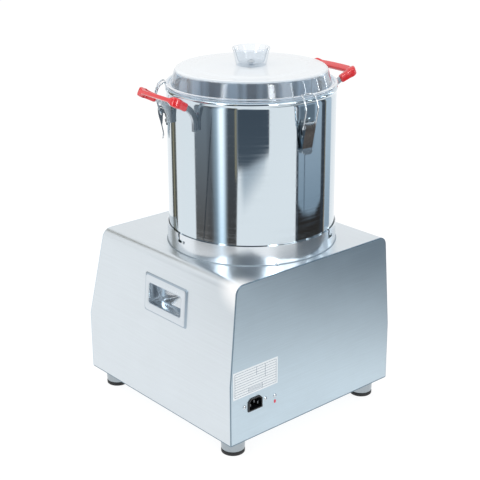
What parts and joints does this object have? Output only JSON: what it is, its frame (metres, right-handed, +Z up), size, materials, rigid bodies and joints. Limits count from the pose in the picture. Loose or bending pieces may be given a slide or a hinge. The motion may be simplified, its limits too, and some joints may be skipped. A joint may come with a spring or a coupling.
{
  "type": "bowl cutter",
  "caption": "Tabletop bowl cutter: leaning steel cabinet, mirror-polished bowl with red grips, latched clear lid, blades on a motor shaft.",
  "frame": {"origin": "middle of the object's box, on the floor that the rubber feet stand on", "axes": "+Z up, +Y towards the back panel with the power inlet, +X towards the carry handle on the left as seen from behind"},
  "size_m": [0.3476, 0.3474, 0.5593],
  "materials": {
    "cabinet_steel": "brushed stainless sheet",
    "collar_steel": "satin stainless",
    "mirror_steel": "mirror-polished stainless",
    "bright_zinc": "bright zinc and nickel plate",
    "rubber_black": "matt black rubber",
    "plate_steel": "machined steel",
    "motor_paint": "semi-gloss machine paint",
    "core_steel": "stacked laminations",
    "copper": "enamelled copper wire",
    "plastic_black": "moulded black plastic",
    "capacitor_shell": "drawn aluminium can",
    "board_green": "solder-masked glass laminate",
    "button_green": "glossy green plastic",
    "button_red": "glossy red plastic",
    "blade_steel": "ground stainless",
    "handle_steel": "satin stainless strip",
    "grip_red": "smooth red silicone",
    "clear_plastic": "clear moulded polycarbonate",
    "seal_white": "white silicone",
    "latch_steel": "bright spring steel and pressed stainless"
  },
  "bodies": {
    "base": {"housing_shell": "cabinet_steel", "front_panel": "cabinet_steel", "back_panel": "cabinet_steel", "bottom_plate": "cabinet_steel", "bottom_screws": "bright_zinc", "foot_cups": "collar_steel", "foot_pads": "rubber_black", "foot_bolts": "bright_zinc", "carry_handle_left": "cabinet_steel", "carry_handle_right": "cabinet_steel", "bowl_collar": "collar_steel", "bowl_seat": "rubber_black", "motor_plate": "plate_steel", "motor_bolts": "bright_zinc", "motor_frame": "motor_paint", "motor_bell_upper": "motor_paint", "motor_bell_lower": "motor_paint", "motor_tie_rods": "bright_zinc", "stator_core": "core_steel", "stator_windings": "copper", "bearing_upper": "plate_steel", "bearing_lower": "plate_steel", "shaft_seal": "rubber_black", "capacitor": "capacitor_shell", "control_board": "board_green", "inlet_body": "plastic_black", "inlet_pins": "bright_zinc", "back_screws": "bright_zinc", "button_bezels": "bright_zinc", "switch_blocks": "plastic_black", "speed_control": "plastic_black"},
    "start_button": {"start_button": "button_green"},
    "stop_button": {"stop_button": "button_red"},
    "speed_knob": {"speed_knob": "plastic_black"},
    "rotor": {"motor_shaft": "plate_steel", "rotor_core": "core_steel", "motor_fan": "plastic_black", "blade_hub": "blade_steel", "blade_lower": "blade_steel", "blade_upper": "blade_steel", "blade_spacer": "blade_steel", "blade_nut": "blade_steel", "hub_knob": "plastic_black"},
    "bowl": {"bowl_shell": "mirror_steel", "lock_pins": "bright_zinc", "bowl_tube": "mirror_steel", "handle_straps": "handle_steel", "handle_grips": "grip_red", "bowl_rivets": "bright_zinc", "latch_brackets": "handle_steel"},
    "lid": {"lid_shell": "clear_plastic", "lid_seal": "seal_white", "lid_knob": "clear_plastic", "knob_screw": "bright_zinc"},
    "lever_1": {"latch_lever_1": "latch_steel"},
    "bail_1": {"latch_bail_1": "latch_steel"},
    "lever_2": {"latch_lever_2": "latch_steel"},
    "bail_2": {"latch_bail_2": "latch_steel"},
    "lever_3": {"latch_lever_3": "latch_steel"},
    "bail_3": {"latch_bail_3": "latch_steel"}
  },
  "joints": [
    {"name": "rotor_spin", "type": "hinge", "parent": "base", "child": "rotor", "pos_m": [0, 0.0328, 0.3], "axis": [0, 0, 1], "continuous": true},
    {"name": "bowl_turn", "type": "hinge", "parent": "base", "child": "bowl", "pos_m": [0, 0.0328, 0.276], "axis": [0, 0, 1], "range_deg": [-5.2, 0]},
    {"name": "lid_lift", "type": "slide", "parent": "bowl", "child": "lid", "axis": [0, 0, 1], "range_m": [0, 0.03]},
    {"name": "start_press", "type": "slide", "parent": "base", "child": "start_button", "axis": [0, 0.9801, -0.1987], "range_m": [0, 0.003], "stiffness_N_per_m": 300},
    {"name": "stop_press", "type": "slide", "parent": "base", "child": "stop_button", "axis": [0, 0.9801, -0.1987], "range_m": [0, 0.003], "stiffness_N_per_m": 300},
    {"name": "speed_turn", "type": "hinge", "parent": "base", "child": "speed_knob", "pos_m": [0, -0.15483, 0.21511], "axis": [0, 0.9801, -0.1987], "range_deg": [0, 280]},
    {"name": "lever_1_swing", "type": "hinge", "parent": "bowl", "child": "lever_1", "pos_m": [0.01155, 0.1648, 0.4715], "axis": [0.9962, -0.0872, 0], "range_deg": [0, 110]},
    {"name": "bail_1_swing", "type": "hinge", "parent": "lever_1", "child": "bail_1", "pos_m": [0.01152, 0.1645, 0.4655], "axis": [-0.9962, 0.0872, 0], "range_deg": [0, 210]},
    {"name": "lever_2_swing", "type": "hinge", "parent": "bowl", "child": "lever_2", "pos_m": [-0.12009, -0.0232, 0.4715], "axis": [-0.4226, 0.9063, 0], "range_deg": [0, 110]},
    {"name": "bail_2_swing", "type": "hinge", "parent": "lever_2", "child": "bail_2", "pos_m": [-0.11981, -0.02307, 0.4655], "axis": [0.4226, -0.9063, 0], "range_deg": [0, 210]},
    {"name": "lever_3_swing", "type": "hinge", "parent": "bowl", "child": "lever_3", "pos_m": [0.10854, -0.0432, 0.4715], "axis": [-0.5736, -0.8192, 0], "range_deg": [0, 110]},
    {"name": "bail_3_swing", "type": "hinge", "parent": "lever_3", "child": "bail_3", "pos_m": [0.10829, -0.04303, 0.4655], "axis": [0.5736, 0.8192, 0], "range_deg": [0, 210]}
  ],
  "couplings": [
    {"joint": "lever_1_swing", "follows": "lid_lift", "rad_per_m": 63.99},
    {"joint": "bail_1_swing", "follows": "lid_lift", "rad_per_m": 122.17},
    {"joint": "lever_2_swing", "follows": "lid_lift", "rad_per_m": 63.99},
    {"joint": "bail_2_swing", "follows": "lid_lift", "rad_per_m": 122.17},
    {"joint": "lever_3_swing", "follows": "lid_lift", "rad_per_m": 63.99},
    {"joint": "bail_3_swing", "follows": "lid_lift", "rad_per_m": 122.17}
  ]
}
